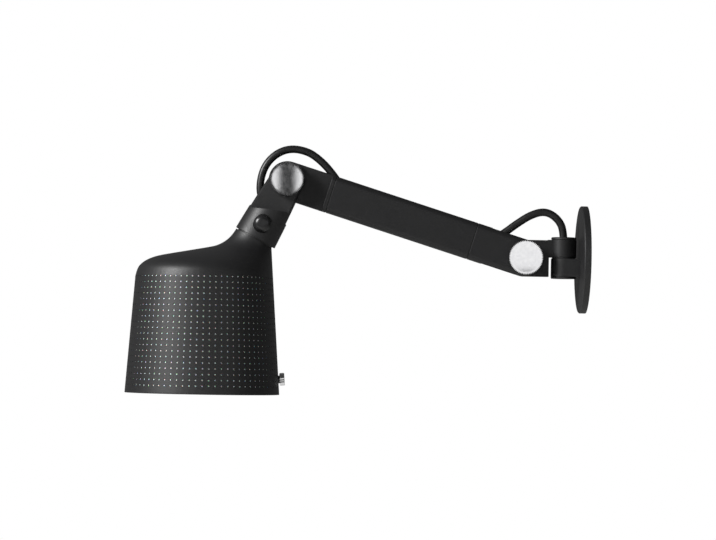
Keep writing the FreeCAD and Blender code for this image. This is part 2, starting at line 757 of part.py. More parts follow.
def rounding(base_a, dir_a, base_b, dir_b, radius):
    """Start, middle and end of the arc that rounds the corner of two lines in the XZ plane."""
    corner = crossing(base_a, dir_a, base_b, dir_b)
    turn = dir_a.getAngle(dir_b)
    room = radius * math.tan(turn / 2)
    to_middle = dir_b - dir_a
    to_middle.normalize()
    middle = corner + to_middle * (radius / math.cos(turn / 2) - radius)
    return corner - dir_a * room, middle, corner + dir_b * room


def skin_circle(left, right):
    """A circle that has two points of the XZ plane at the ends of its diameter."""
    across = right - left
    normal = Vector(-across.z, 0, across.x)
    return Part.Wire(Part.makeCircle(across.Length / 2, (left + right) * 0.5, normal))


def arc_points(arc, count):
    edge = Part.Arc(*arc).toShape()
    return [edge.valueAt(edge.FirstParameter + (edge.LastParameter - edge.FirstParameter) * i / count)
            for i in range(count + 1)]


def wall_meets_neck(wall_inset, top_drop):
    """Where the right-hand wall line reaches the plane of the neck's top."""
    def beyond(u):
        x, z = to_wall_frame(u, -neck_top - top_drop)
        return x - shade_axis_x - wall_radius(z) + wall_inset
    u = -beyond(0) / (beyond(1) - beyond(0))
    x, z = to_wall_frame(u, -neck_top - top_drop)
    return Vector(x, 0, z)


def shade_body(inset, top_drop, blend_radius):
    """The shade's outer form, or its hollow with inset and top_drop as the wall."""
    lefts, neck_base = left_profile(inset, blend_radius)
    wall_inset = inset / math.cos(math.radians(shade_taper))
    lean = Rotation(Vector(0, 1, 0), head_lean)
    down_neck = lean.multVec(Vector(0, 0, -1))
    lefts.append(neck_base + down_neck * top_drop)
    start_z = lefts[0].z
    end_right = wall_meets_neck(wall_inset, top_drop)
    lengths = [0.0]
    for a, b in zip(lefts, lefts[1:]):
        lengths.append(lengths[-1] + (b - a).Length)
    sections = []
    for left, along in zip(lefts, lengths):
        z = start_z + (end_right.z - start_z) * (along / lengths[-1]) ** 0.8
        right = Vector(shade_axis_x + wall_radius(z) - wall_inset, 0, z)
        sections.append(skin_circle(left, right))
    for drop in (1, 2, 3):
        below = start_z - drop * wall_section_step
        radius = wall_radius(below) - wall_inset
        level = Vector(shade_axis_x, 0, below)
        sections.insert(0, skin_circle(level - Vector(radius, 0, 0), level + Vector(radius, 0, 0)))
    top = Part.makeLoft(sections, True, False)
    cone = Part.makeCone(shade_rim_radius - wall_inset, wall_radius(below) - wall_inset,
                         below - shade_rim_z, Vector(shade_axis_x, 0, shade_rim_z))
    return cone.fuse(top)


def dimmer_frame():
    """Origin on the shade's outer wall, Z square to the wall and pointing out."""
    z = shade_rim_z + dimmer_level
    origin = Vector(shade_axis_x + wall_radius(z), 0, z)
    return Placement(origin, Rotation(Vector(0, 1, 0), 90 - shade_taper))


def shade():
    hollow = shade_body(shade_wall, neck_top_wall, neck_inner_blend_radius)
    body = shade_body(0, 0, neck_blend_radius).cut(hollow)
    lip = turned([
        (shade_rim_radius - shade_wall - rim_lip, 0), (shade_rim_radius - shade_wall / 2, 0),
        (shade_rim_radius - shade_wall / 2 - 0.1, rim_lip_height),
        (shade_rim_radius - shade_wall - rim_lip, rim_lip_height),
    ], Vector(shade_axis_x, 0, shade_rim_z))
    body = body.fuse(lip)
    hole = rod_z(0, 0, nipple_radius + running_clearance, -neck_top - 12, -neck_top + 5)
    hole.Placement = head_frame
    body = body.cut(hole)
    neck = rod_z(0, 0, dimmer_neck_radius, -2 * shade_wall - 2, 3)
    neck.Placement = dimmer_frame()
    return one(body.cut(neck))


def light_sleeve():
    bottom = shade_rim_z + rim_lip_height + sleeve_gap
    top = bottom + sleeve_height
    gap = (shade_wall + sleeve_gap) / math.cos(math.radians(shade_taper))
    sleeve = turned([
        (wall_radius(bottom) - gap, bottom), (wall_radius(top) - gap, top),
        (wall_radius(top) - gap - sleeve_wall, top), (wall_radius(bottom) - gap - sleeve_wall, bottom),
    ], Vector(shade_axis_x, 0, 0))
    hole = rod_z(0, 0, dimmer_neck_radius + seat_clearance, -12, 3)
    hole.Placement = dimmer_frame()
    return one(sleeve.cut(hole))


def holder_top():
    return -neck_top - neck_top_wall - spigot_nut_height - seat_clearance


def lampholder():
    top = holder_top()
    bottom = top - holder_length
    inner = bulb_cap_radius + seat_clearance
    return turned([
        (nipple_radius + running_clearance, top), (holder_radius - 2, top),
        (holder_radius, top - 4), (holder_radius, bottom), (inner, bottom),
        (inner, bottom + bulb_cap_length), (holder_radius - holder_wall - 2, bottom + bulb_cap_length),
        (holder_radius - holder_wall - 2, top - 8), (nipple_radius + running_clearance, top - 8),
    ])


def bulb_cap():
    bottom = holder_top() - holder_length
    top = bottom + bulb_cap_length
    return turned([(0, bottom), (bulb_cap_radius, bottom), (bulb_cap_radius, top - 4),
                   (bulb_cap_radius / 2, top), (0, top)])


def bulb_glass():
    start = holder_top() - holder_length - seat_clearance
    centre = start - bulb_reach + bulb_radius
    neck = bulb_cap_radius + 2
    drop = math.sqrt(bulb_radius**2 - (neck + 6) ** 2)
    outline = Part.Wire([
        Part.LineSegment(Vector(0, 0, start), Vector(neck, 0, start)).toShape(),
        Part.LineSegment(Vector(neck, 0, start), Vector(neck + 6, 0, centre + drop)).toShape(),
        Part.Arc(Vector(neck + 6, 0, centre + drop), Vector(bulb_radius, 0, centre),
                 Vector(0, 0, centre - bulb_radius)).toShape(),
        Part.LineSegment(Vector(0, 0, centre - bulb_radius), Vector(0, 0, start)).toShape(),
    ])
    return Part.Face(outline).revolve(Vector(0, 0, 0), Vector(0, 0, 1), 360).Solids[0]


# ---- Dimmer ----
def dimmer_face():
    """How deep behind the outer wall the dimmer's flat front lies, clear of the round sleeve."""
    inner = wall_radius(shade_rim_z + dimmer_level) - shade_wall - sleeve_gap - sleeve_wall
    bow = inner - math.sqrt(inner**2 - dimmer_body_radius**2)
    return shade_wall + sleeve_gap + sleeve_wall + bow + seat_clearance


def dimmer_body():
    face = dimmer_face()
    body = rod_z(0, 0, dimmer_body_radius, -face - dimmer_body_depth, -face)
    neck = rod_z(0, 0, dimmer_neck_radius, -face - 1, dimmer_neck_gap - joint_play)
    shaft = rod_z(0, 0, dimmer_shaft_radius, 0, dimmer_neck_gap + dimmer_knob_length - 1.2)
    body = one(body.fuse([neck, shaft]))
    body.Placement = dimmer_frame()
    return body


def dimmer_knob():
    knob = knurled_disc(dimmer_knob_radius, dimmer_knob_teeth, dimmer_knob_tooth_depth,
                        dimmer_knob_length, dimmer_knob_tooth_depth)
    hole = rod_z(0, 0, dimmer_shaft_radius + running_clearance, 0, dimmer_knob_length - 1.0)
    knob = one(knob.cut(hole))
    out = dimmer_frame().multVec(Vector(0, 0, dimmer_neck_gap))
    knob.Placement = Placement(out, dimmer_frame().Rotation)
    return knob


def dimmer_lead():
    """The wire from the dimmer up inside the shade to the lampholder."""
    back = -dimmer_face() - dimmer_body_depth
    start = dimmer_frame().multVec(Vector(0, 0, back))
    out = dimmer_frame().multVec(Vector(0, 0, back - lead_straight))
    end = head_frame.multVec(Vector(holder_radius + seat_clearance, 0, holder_top() - lead_entry))
    near_end = head_frame.multVec(Vector(holder_radius + lead_straight, 0, holder_top() - lead_entry))
    path = cord_path([start, out] + in_plane(lead_route) + [near_end, end])
    return cord_tube(path, dimmer_lead_radius)


# ---- Cord spans ----
def cord_wall_run():
    start = Vector(0, 0, cord_wall_level)
    bend = Vector(hinge_x + cord_wall_bend, 0, cord_wall_level)
    up = Vector(hinge_x, 0, cord_wall_level + cord_wall_bend)
    inner = cord_wall_bend * (1 - math.sqrt(0.5))
    middle = Vector(hinge_x + inner, 0, cord_wall_level + inner)
    path = Part.Wire([
        Part.LineSegment(start, bend).toShape(),
        Part.Arc(bend, middle, up).toShape(),
        Part.LineSegment(up, Vector(hinge_x, 0, hinge_cord_split)).toShape(),
    ])
    return cord_tube(path)


def cord_arm_run():
    start, end = in_plane([wall_loop_route[-1], elbow_loop_route[0]])
    gap = (end - start).normalize() * cord_span_gap
    return cord_tube(Part.Wire([Part.LineSegment(start + gap, end - gap).toShape()]))


def cord_head_run():
    loop_end = head_frame.inverse().multVec(in_plane(elbow_loop_route)[-1])
    top = head_frame.multVec(Vector(0, 0, loop_end.z - head_cord_gap))
    end = head_frame.multVec(Vector(0, 0, holder_top() - cord_in_holder))
    return cord_tube(Part.Wire([Part.LineSegment(top, end).toShape()]))


def placed(shape, placement):
    """A copy of a solid, or of a list of solids, in the wall frame."""
    if isinstance(shape, list):
        return [placed(s, placement) for s in shape]
    moved = shape.copy()
    moved.Placement = placement.multiply(moved.Placement)
    return moved


def lamp():
    at_wall_pivot = arm_frame
    at_elbow = head_frame
    arm_half = arm_width / 2
    yoke_half = yoke_width / 2
    return {
        "mounting_plate": mounting_plate(),
        "wall_cover": wall_cover(),
        "cover_screws": cover_screws(),
        "wall_knuckle": wall_knuckle(),
        "knuckle_screws": knuckle_screws(),
        "hinge_tube": hinge_tube(),
        "hinge_washer": hinge_washer(),
        "hinge_nut": hinge_nut(),
        "hinge_plug": hinge_plug(),
        "swivel_block": swivel_block(),
        "hinge_bush": hinge_bush(),
        "barrel_gland": barrel_gland(),
        "arm_fork": placed(arm_fork(), arm_frame),
        "arm_tube": placed(arm_tube(), arm_frame),
        "arm_tongue": placed(arm_tongue(), arm_frame),
        "arm_screws": placed(arm_screws(), arm_frame),
        "wall_pivot_washers": placed(pivot_washers(), at_wall_pivot),
        "wall_pivot_bolt": placed(pivot_bolt(arm_half), at_wall_pivot),
        "wall_clamp_knob": placed(clamp_knob(arm_half), at_wall_pivot),
        "head_yoke": placed(head_yoke(), head_frame),
        "elbow_pivot_washers": placed(pivot_washers(), at_elbow),
        "elbow_pivot_bolt": placed(pivot_bolt(yoke_half), at_elbow),
        "elbow_clamp_knob": placed(clamp_knob(yoke_half), at_elbow),
        "head_washer": placed(head_washer(), head_frame),
        "swivel_lock_screw": placed(swivel_lock_screw(), head_frame),
        "head_spigot": placed(head_spigot(), head_frame),
        "spigot_nut": placed(spigot_nut(), head_frame),
        "shade": shade(),
        "light_sleeve": light_sleeve(),
        "lampholder": placed(lampholder(), head_frame),
        "bulb_cap": placed(bulb_cap(), head_frame),
        "bulb_glass": placed(bulb_glass(), head_frame),
        "dimmer_body": dimmer_body(),
        "dimmer_knob": dimmer_knob(),
        "dimmer_lead": dimmer_lead(),
        "cord_wall_run": cord_wall_run(),
        "cord_wall_loop": cord_tube(cord_path(in_plane(wall_loop_route))),
        "cord_arm_run": cord_arm_run(),
        "cord_elbow_loop": cord_tube(cord_path(in_plane(elbow_loop_route))),
        "cord_head_run": cord_head_run(),
    }


os.makedirs("parts", exist_ok=True)
for node, shape in lamp().items():
    solid = Part.makeCompound(shape) if isinstance(shape, list) else shape
    solid.exportStep("parts/%s.step" % node)
    print("%-20s volume %10.1f mm3, valid %s" % (node, solid.Volume, solid.isValid()))
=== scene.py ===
import json
import math

import bpy
from mathutils import Matrix, Vector


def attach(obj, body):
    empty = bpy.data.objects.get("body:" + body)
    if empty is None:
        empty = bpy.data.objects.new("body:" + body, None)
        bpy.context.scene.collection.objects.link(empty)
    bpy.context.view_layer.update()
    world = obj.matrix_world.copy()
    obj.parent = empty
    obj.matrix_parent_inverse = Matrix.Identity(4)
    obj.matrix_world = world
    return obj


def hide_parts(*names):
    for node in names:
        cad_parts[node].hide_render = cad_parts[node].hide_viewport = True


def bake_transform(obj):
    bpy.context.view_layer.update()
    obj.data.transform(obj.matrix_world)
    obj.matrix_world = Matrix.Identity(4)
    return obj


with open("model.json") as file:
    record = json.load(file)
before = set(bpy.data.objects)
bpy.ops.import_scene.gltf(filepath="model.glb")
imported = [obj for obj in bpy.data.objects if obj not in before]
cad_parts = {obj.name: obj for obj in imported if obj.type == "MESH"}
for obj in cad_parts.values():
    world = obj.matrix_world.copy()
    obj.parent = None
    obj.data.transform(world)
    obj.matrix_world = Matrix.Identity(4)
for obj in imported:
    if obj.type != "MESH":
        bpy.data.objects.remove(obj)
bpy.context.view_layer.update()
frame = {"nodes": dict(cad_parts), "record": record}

mm = 0.001


# small helpers
def onlySelect(obj):
    bpy.ops.object.select_all(action="DESELECT")
    obj.select_set(True)
    bpy.context.view_layer.objects.active = obj


def applyAll(obj):
    onlySelect(obj)
    for modifier in list(obj.modifiers):
        bpy.ops.object.modifier_apply(modifier=modifier.name)


def meshObject(name, points, faces):
    mesh = bpy.data.meshes.new(name)
    mesh.from_pydata(points, [], faces)
    obj = bpy.data.objects.new(name, mesh)
    bpy.context.scene.collection.objects.link(obj)
    onlySelect(obj)
    return obj


def hexColour(text):
    # sRGB hex to the linear values that the shader wants
    parts = [int(text[i:i + 2], 16) / 255 for i in (1, 3, 5)]
    return [c / 12.92 if c <= 0.04045 else ((c + 0.055) / 1.055) ** 2.4 for c in parts] + [1.0]


def addNode(tree, kind, inputs=None, **settings):
    node = tree.nodes.new(kind)
    for name, value in settings.items():
        setattr(node, name, value)
    for name, value in (inputs or {}).items():
        if isinstance(value, bpy.types.NodeSocket):
            tree.links.new(value, node.inputs[name])
        else:
            node.inputs[name].default_value = value
    return node


def newMaterial(name):
    material = bpy.data.materials.new(name)
    material.use_nodes = True
    tree = material.node_tree
    tree.nodes.clear()
    shader = addNode(tree, "ShaderNodeBsdfPrincipled")
    addNode(tree, "ShaderNodeOutputMaterial", {"Surface": shader.outputs[0]})
    place = addNode(tree, "ShaderNodeTexCoord").outputs["Object"]
    return material, tree, shader, place


def grain(tree, place, size, detail=2.0, **inputs):
    # noise whose lumps are about this many millimetres across
    return addNode(tree, "ShaderNodeTexNoise",
                   {"Vector": place, "Scale": 1 / (size * mm), "Detail": detail, **inputs})


def spread(tree, value, low, high):
    # stretches a noise's middle values over low to high
    return addNode(tree, "ShaderNodeMapRange", {
        "Value": value, "From Min": 0.3, "From Max": 0.7, "To Min": low, "To Max": high})


def twoTone(tree, value, dark, light):
    factor = spread(tree, value, 0, 1).outputs[0]
    colours = {0: factor, 6: hexColour(dark), 7: hexColour(light)}
    return addNode(tree, "ShaderNodeMix", colours, data_type="RGBA").outputs[2]


# camera, where the photograph was taken from
camera = {
    "place": (-261, -2500, -90), "looksAt": (-212.5, 0, -13.4),
    "lens": 135.1, "sensor": 36, "rollDegrees": 1.1, "clipStart": 50,
}


def makeCamera():
    data = bpy.data.cameras.new("camera")
    data.lens = camera["lens"]
    data.sensor_width = camera["sensor"]
    data.clip_start = camera["clipStart"] * mm
    obj = bpy.data.objects.new("camera", data)
    bpy.context.scene.collection.objects.link(obj)
    here = Vector(camera["place"]) * mm
    ahead = (Vector(camera["looksAt"]) * mm - here).normalized()
    roll = math.radians(camera["rollDegrees"])
    right = Vector((math.cos(roll), 0, math.sin(roll)))
    right = (right - ahead * right.dot(ahead)).normalized()
    up = right.cross(ahead)
    turn = Matrix((right, up, -ahead)).transposed().to_4x4()
    obj.matrix_world = Matrix.Translation(here) @ turn
    bpy.context.scene.camera = obj


makeCamera()
print("camera set")


# cord loops, along the same points as the solids
cordLoops = {
    "radius": 3.6, "order": 3, "stepsAlong": 10, "stepsAround": 5, "weld": 0.01,
    "wall": [(-21.0, 8.0), (-21.0, 26.5), (-26.8, 38.0), (-38.4, 44.9), (-51.8, 41.4),
             (-65.5, 32.4), (-77.8, 22.8), (-88.85, 16.63), (-98.39, 16.22), (-107.95, 19.17)],
    "elbow": [(-209.15, 50.34), (-220.14, 53.72), (-227.60, 61.77), (-240.66, 79.44),
              (-251.34, 89.76), (-261.64, 96.20), (-276.33, 98.79), (-289.14, 94.62),
              (-299.37, 84.75), (-304.50, 72.05), (-305.43, 56.55), (-299.26, 42.16),
              (-298.58, 33.64), (-302.57, 26.14)],
}


def makeCord(name, route):
    curve = bpy.data.curves.new(name, "CURVE")
    curve.dimensions = "3D"
    spline = curve.splines.new("NURBS")
    spline.points.add(len(route) - 1)
    for point, (x, z) in zip(spline.points, route):
        point.co = (x * mm, 0, z * mm, 1)
    spline.order_u = cordLoops["order"]
    spline.use_endpoint_u = True
    spline.resolution_u = cordLoops["stepsAlong"]
    curve.bevel_depth = cordLoops["radius"] * mm
    curve.bevel_resolution = cordLoops["stepsAround"]
    curve.use_fill_caps = True
    obj = bpy.data.objects.new(name, curve)
    bpy.context.scene.collection.objects.link(obj)
    onlySelect(obj)
    bpy.ops.object.convert(target="MESH")
    obj = bpy.context.view_layer.objects.active
    bpy.ops.object.mode_set(mode="EDIT")
    bpy.ops.mesh.select_all(action="SELECT")
    bpy.ops.mesh.remove_doubles(threshold=cordLoops["weld"] * mm)
    bpy.ops.mesh.normals_make_consistent(inside=False)
    bpy.ops.object.mode_set(mode="OBJECT")
    bpy.ops.object.shade_smooth_by_angle(angle=math.radians(40))
    return obj


wallCord = makeCord("wallCordLoop", cordLoops["wall"])
elbowCord = makeCord("elbowCordLoop", cordLoops["elbow"])
print("cord loops made")


# shade: rings up the wall and over the bell, with a cell left out for each hole
# drops and offsets are measured from the elbow, and the rows of holes from the rim
shadeShape = {
    "elbow": (-279.8024, 68.9625), "headLean": 28.0,
    "axisOffset": 75.5, "rimDrop": 199.86, "rimRadius": 71.8, "taper": 4.14, "wall": 1.6,
    "shoulderDrop": 15.0, "shoulderRun": 26.0,
    "topSlope": 10.5, "topOffset": 101.7, "topDrop": 69.16,
    "neckBlend": 32.0, "neckRadius": 19.7, "neckTop": 62.5, "nippleHole": 5.05,
    "rimLip": 3.2, "edge": 0.5, "topRing": 11.0, "ringLean": 0.8,
    "shoulderSteps": 9, "slopeSteps": 3, "blendSteps": 7,
}
perforation = {
    "columns": 75, "firstColumn": 92.0, "rows": 20, "firstRow": 7.7, "pitch": 5.26, "hole": 1.7,
}


def rimCentre():
    s = shadeShape
    return s["elbow"][0] - s["axisOffset"], s["elbow"][1] - s["rimDrop"]


def headPoint(across, along):
    # a point given from the elbow, square to the swivel axis and along it
    lean = math.radians(shadeShape["headLean"])
    x, z = shadeShape["elbow"]
    return Vector((x + across * math.cos(lean) + along * math.sin(lean),
                   z - across * math.sin(lean) + along * math.cos(lean)))


def crossing(a, alongA, b, alongB):
    # where the line through a meets the line through b
    gap = b - a
    cross = alongA.x * alongB.y - alongA.y * alongB.x
    return a + alongA * ((gap.x * alongB.y - gap.y * alongB.x) / cross)


def direction(degrees):
    return Vector((math.cos(math.radians(degrees)), math.sin(math.radians(degrees))))


def bellLine():
    # the outline's left side above the wall: shoulder, sloping top, blend, neck
    s = shadeShape
    axisX, rimZ = rimCentre()
    upWall, upTop = direction(90 - s["taper"]), direction(s["topSlope"])
    upNeck = direction(90 - s["headLean"])
    topBase = Vector((s["elbow"][0] - s["topOffset"], s["elbow"][1] - s["topDrop"]))
    neckBase = headPoint(-s["neckRadius"], -s["neckTop"])
    corner = crossing(Vector((axisX - s["rimRadius"], rimZ)), upWall, topBase, upTop)
    start, end = corner - upWall * s["shoulderDrop"], corner + upTop * s["shoulderRun"]
    line = []
    for k in range(s["shoulderSteps"] + 1):
        t = k / s["shoulderSteps"]
        line.append(start * (1 - t) ** 2 + corner * (2 * t * (1 - t)) + end * t * t)
    bend = crossing(topBase, upTop, neckBase, upNeck)
    turn = upTop.angle(upNeck)
    room = s["neckBlend"] * math.tan(turn / 2)
    first = bend - upTop * room
    middle = bend + (upNeck - upTop).normalized() * (s["neckBlend"] / math.cos(turn / 2))
    line += [end.lerp(first, k / s["slopeSteps"]) for k in range(1, s["slopeSteps"])]
    firstAngle = math.atan2(first.y - middle.y, first.x - middle.x)
    for k in range(s["blendSteps"] + 1):
        angle = firstAngle + turn * k / s["blendSteps"]
        line.append(middle + Vector((math.cos(angle), math.sin(angle))) * s["neckBlend"])
    reach = neckBase - line[-1]
    return line + [line[-1] + reach * 0.5, neckBase]


def shadeRings():
    # each ring is its left end, its right end and half the angle that a hole takes up
    s, p = shadeShape, perforation
    axisX, rimZ = rimCentre()
    slope = math.tan(math.radians(s["taper"]))
    rings, holeBands = [], set()

    def level(height, radius=None):
        r = radius or s["rimRadius"] - height * slope
        left, right = (Vector((axisX + side * r, rimZ + height)) for side in (-1, 1))
        rings.append((left, right, p["hole"] / 2 / r))

    level(0, s["rimRadius"] - s["rimLip"])
    level(0, s["rimRadius"] - s["edge"])
    level(0)
    level(s["edge"])
    for row in range(p["rows"]):
        middle = p["firstRow"] + row * p["pitch"]
        level(middle - p["hole"] / 2)
        holeBands.add(len(rings) - 1)
        level(middle + p["hole"] / 2)

    def beyond(across):
        # how far a point of the neck's top plane is past the right-hand wall
        point = headPoint(across, -s["neckTop"])
        return point.x - axisX - s["rimRadius"] + (point.y - rimZ) * slope

    lefts = bellLine()
    startZ = lefts[0].y
    endRight = headPoint(-beyond(0) / (beyond(1) - beyond(0)), -s["neckTop"])
    lengths = [0.0]
    for a, b in zip(lefts, lefts[1:]):
        lengths.append(lengths[-1] + (b - a).length)
    half = rings[-1][2]
    # the first two points are passed over, so that no ring crowds the top row of holes
    for left, along in list(zip(lefts, lengths))[2:]:
        z = startZ + (endRight.y - startZ) * (along / lengths[-1]) ** s["ringLean"]
        rings.append((left, Vector((axisX + s["rimRadius"] - (z - rimZ) * slope, z)), half))
    left, right, half = rings[-1]
    inward = (right - left).normalized() * s["edge"]
    rings.append((left + inward, right - inward, half))
    for radius in (s["topRing"], s["nippleHole"]):
        ends = [headPoint(side * radius, -s["neckTop"]) for side in (-1, 1)]
        rings.append((*ends, half))
    return rings, holeBands


def makeShade():
    rings, holeBands = shadeRings()
    count = perforation["columns"]
    points, faces = [], []
    for left, right, half in rings:
        middle, across = (left + right) / 2, (right - left) / 2
        for column in range(count):
            centre = math.radians(perforation["firstColumn"] + 360 * column / count)
            for angle in (centre - half, centre + half):
                x, z = middle - across * math.cos(angle)
                points.append((x * mm, -across.length * math.sin(angle) * mm, z * mm))
    around = 2 * count
    for band in range(len(rings) - 1):
        for i in range(around):
            if band in holeBands and i % 2 == 0:
                continue
            j = (i + 1) % around
            low, high = band * around, (band + 1) * around
            faces.append((low + i, low + j, high + j, high + i))
    obj = meshObject("perforatedShade", points, faces)
    # one step of subdivision turns each left-out cell into a round hole
    rounder = obj.modifiers.new("roundHoles", "SUBSURF")
    rounder.levels = rounder.render_levels = 1
    thick = obj.modifiers.new("wall", "SOLIDIFY")
    thick.thickness = shadeShape["wall"] * mm
    thick.offset = -1
    thick.use_even_offset = True
    applyAll(obj)
    bpy.ops.object.shade_smooth_by_angle(angle=math.radians(35))
    return obj


shade = makeShade()
print("shade made,", len(shade.data.polygons), "faces")


# white pips of the inner sleeve, one standing in each hole
pipShape = {"radius": 0.75, "sides": 8, "sunk": 0.6, "root": 1.9}


def makePips():
    s, p = shadeShape, perforation
    axisX, rimZ = rimCentre()
    tilt, sides = math.radians(s["taper"]), pipShape["sides"]
    points, faces = [], []
    for row in range(p["rows"]):
        height = p["firstRow"] + row * p["pitch"]
        for column in range(p["columns"]):
            angle = math.radians(p["firstColumn"] + 360 * column / p["columns"])
            flat = Vector((-math.cos(angle), -math.sin(angle), 0))
            side = Vector((math.sin(angle), -math.cos(angle), 0))
            outward = flat * math.cos(tilt) + Vector((0, 0, math.sin(tilt)))
            upward = Vector((0, 0, math.cos(tilt))) - flat * math.sin(tilt)
            wallRadius = s["rimRadius"] - height * math.tan(tilt)
            centre = Vector((axisX, 0, rimZ + height)) + flat * wallRadius
            first = len(points)
            for depth in (pipShape["sunk"], pipShape["root"]):
                for k in range(sides):
                    a = 2 * math.pi * k / sides
                    edge = (side * math.cos(a) + upward * math.sin(a)) * pipShape["radius"]
                    points.append((centre + edge - outward * depth) * mm)
            front = [first + k for k in range(sides)]
            back = [first + sides + k for k in range(sides)]
            faces.append(front)
            faces.append(back[::-1])
            for k in range(sides):
                n = (k + 1) % sides
                faces.append([front[k], back[k], back[n], front[n]])
    obj = meshObject("sleevePips", points, faces)
    bpy.ops.object.mode_set(mode="EDIT")
    bpy.ops.mesh.select_all(action="SELECT")
    bpy.ops.mesh.normals_make_consistent(inside=False)
    bpy.ops.object.mode_set(mode="OBJECT")
    return obj


pips = makePips()
print("pips made")


# clamp knobs: a knurled band with a turned face, on a short neck
knobShape = {
    "radius": 15.9, "band": 8.6, "teeth": 62, "toothDepth": 1.4,
    "faceInset": 0.4, "crown": 0.25, "crownSteps": 8, "crownEnd": 0.02, "faceArea": 100,
    "neckRadius": 9.0, "neckLength": 2.85, "neckSides": 64, "back": -12.9,
    "wall": (-57.7, 0.55), "elbow": (-279.8, 68.96),
}


def selectOnly(obj, kind, test):
    # opens the mesh with just the vertices or polygons that pass the test selected
    bpy.ops.object.mode_set(mode="OBJECT")
    modes = (kind == "vertices", False, kind == "polygons")
    bpy.context.tool_settings.mesh_select_mode = modes
    for group in ("vertices", "edges", "polygons"):
        for item in getattr(obj.data, group):
            item.select = group == kind and test(item)
    bpy.ops.object.mode_set(mode="EDIT")


def makeClampKnob(name, pivot):
    k = knobShape
    x, z = pivot
    bpy.ops.object.select_all(action="DESELECT")
    bpy.ops.mesh.primitive_cylinder_add(
        vertices=2 * k["teeth"], radius=k["radius"] * mm, depth=k["band"] * mm)
    band = bpy.context.view_layer.objects.active

    def inValley(vertex):
        corner = round(math.atan2(vertex.co.y, vertex.co.x) / math.pi * k["teeth"])
        return corner % 2 == 1

    def isFront(polygon):
        return polygon.normal.z > 0.9 and polygon.area > k["faceArea"] * mm * mm

    # every other corner is drawn in to make the teeth
    selectOnly(band, "vertices", inValley)
    pull = 1 - k["toothDepth"] / k["radius"]
    bpy.ops.transform.resize(value=(pull, pull, 1))
    # the front is very slightly crowned, in rings towards its centre
    selectOnly(band, "polygons", isFront)
    bpy.ops.mesh.inset(thickness=k["faceInset"] * mm, depth=0)
    for step in range(k["crownSteps"], 0, -1):
        now, then = step / k["crownSteps"], (step - 1) / k["crownSteps"]
        rise = k["crown"] * (now ** 2 - then ** 2)
        bpy.ops.mesh.extrude_region_move(TRANSFORM_OT_translate={"value": (0, 0, rise * mm)})
        size = max(then, k["crownEnd"]) / now
        bpy.ops.transform.resize(value=(size, size, 1))
    bpy.ops.object.mode_set(mode="OBJECT")
    bpy.ops.mesh.primitive_cylinder_add(
        vertices=k["neckSides"], radius=k["neckRadius"] * mm, depth=k["neckLength"] * mm,
        location=(0, 0, -(k["band"] + k["neckLength"]) / 2 * mm))
    band.select_set(True)
    bpy.context.view_layer.objects.active = band
    bpy.ops.object.join()
    band.name = name
    centre = Vector((x, k["back"] - k["band"] / 2, z)) * mm
    band.matrix_world = Matrix.Translation(centre) @ Matrix.Rotation(math.radians(90), 4, "X")
    onlySelect(band)
    bpy.ops.object.transform_apply(location=True, rotation=True, scale=True)
    bpy.ops.object.shade_smooth_by_angle(angle=math.radians(25))
    return band


wallKnob = makeClampKnob("wallClampKnob", knobShape["wall"])
elbowKnob = makeClampKnob("elbowClampKnob", knobShape["elbow"])
print("knobs made")


# materials
def powderCoat(name, shine):
    # Black polyester powder coat, sprayed and baked: matt, with a fine pebbled grain that breaks up
    # the highlights. The real grain is about 0.3 mm; it is drawn at 0.8 mm so that it shows.
    material, tree, shader, place = newMaterial(name)
    fine = grain(tree, place, 0.8, 3.0).outputs[0]
    broad = grain(tree, place, 14.0, 3.0).outputs[0]
    tree.links.new(twoTone(tree, fine, "#111112", "#181819"), shader.inputs["Base Color"])
    rough = addNode(tree, "ShaderNodeMath", {
        0: spread(tree, fine, 0.46, 0.56).outputs[0],
        1: spread(tree, broad, -0.03, 0.03).outputs[0]}, operation="ADD")
    tree.links.new(rough.outputs[0], shader.inputs["Roughness"])
    bump = addNode(tree, "ShaderNodeBump", {"Height": fine, "Strength": 0.45, "Distance": 0.0002})
    tree.links.new(bump.outputs[0], shader.inputs["Normal"])
    shader.inputs["IOR"].default_value = 1.5
    shader.inputs["Specular IOR Level"].default_value = shine
    return material


def turnedAluminium(name, centre, flat):
    # Bright aluminium, faced on a lathe: it mirrors the lights, slightly blurred, and carries faint
    # rings about the knob's axis. The rings are drawn 0.4 mm apart so that they show.
    material, tree, shader, place = newMaterial(name)
    ringPitch = 0.4
    away = addNode(tree, "ShaderNodeVectorMath", {0: place, 1: [c * mm for c in centre]},
                   operation="SUBTRACT")
    # flattened onto the face, and a little off the axis so that the middle ring isn't a dot
    outward = addNode(tree, "ShaderNodeVectorMath", {
        0: away.outputs[0], 1: flat, 2: (0.0001, 0.0002, 0.0001)}, operation="MULTIPLY_ADD")
    rings = addNode(tree, "ShaderNodeTexWave", {
        "Vector": outward.outputs[0], "Scale": math.pi / 10 / (ringPitch * mm),
        "Distortion": 0.6, "Detail": 2.0, "Detail Scale": 3.0},
        wave_type="RINGS", rings_direction="SPHERICAL")
    smear = grain(tree, place, 3.0, 4.0).outputs[0]
    tree.links.new(twoTone(tree, smear, "#dcdcde", "#e8e8e9"), shader.inputs["Base Color"])
    shader.inputs["Metallic"].default_value = 1.0
    tree.links.new(spread(tree, smear, 0.07, 0.1).outputs[0], shader.inputs["Roughness"])
    bump = addNode(tree, "ShaderNodeBump", {
        "Height": rings.outputs[1], "Strength": 0.05, "Distance": 0.00002})
    tree.links.new(bump.outputs[0], shader.inputs["Normal"])
    return material


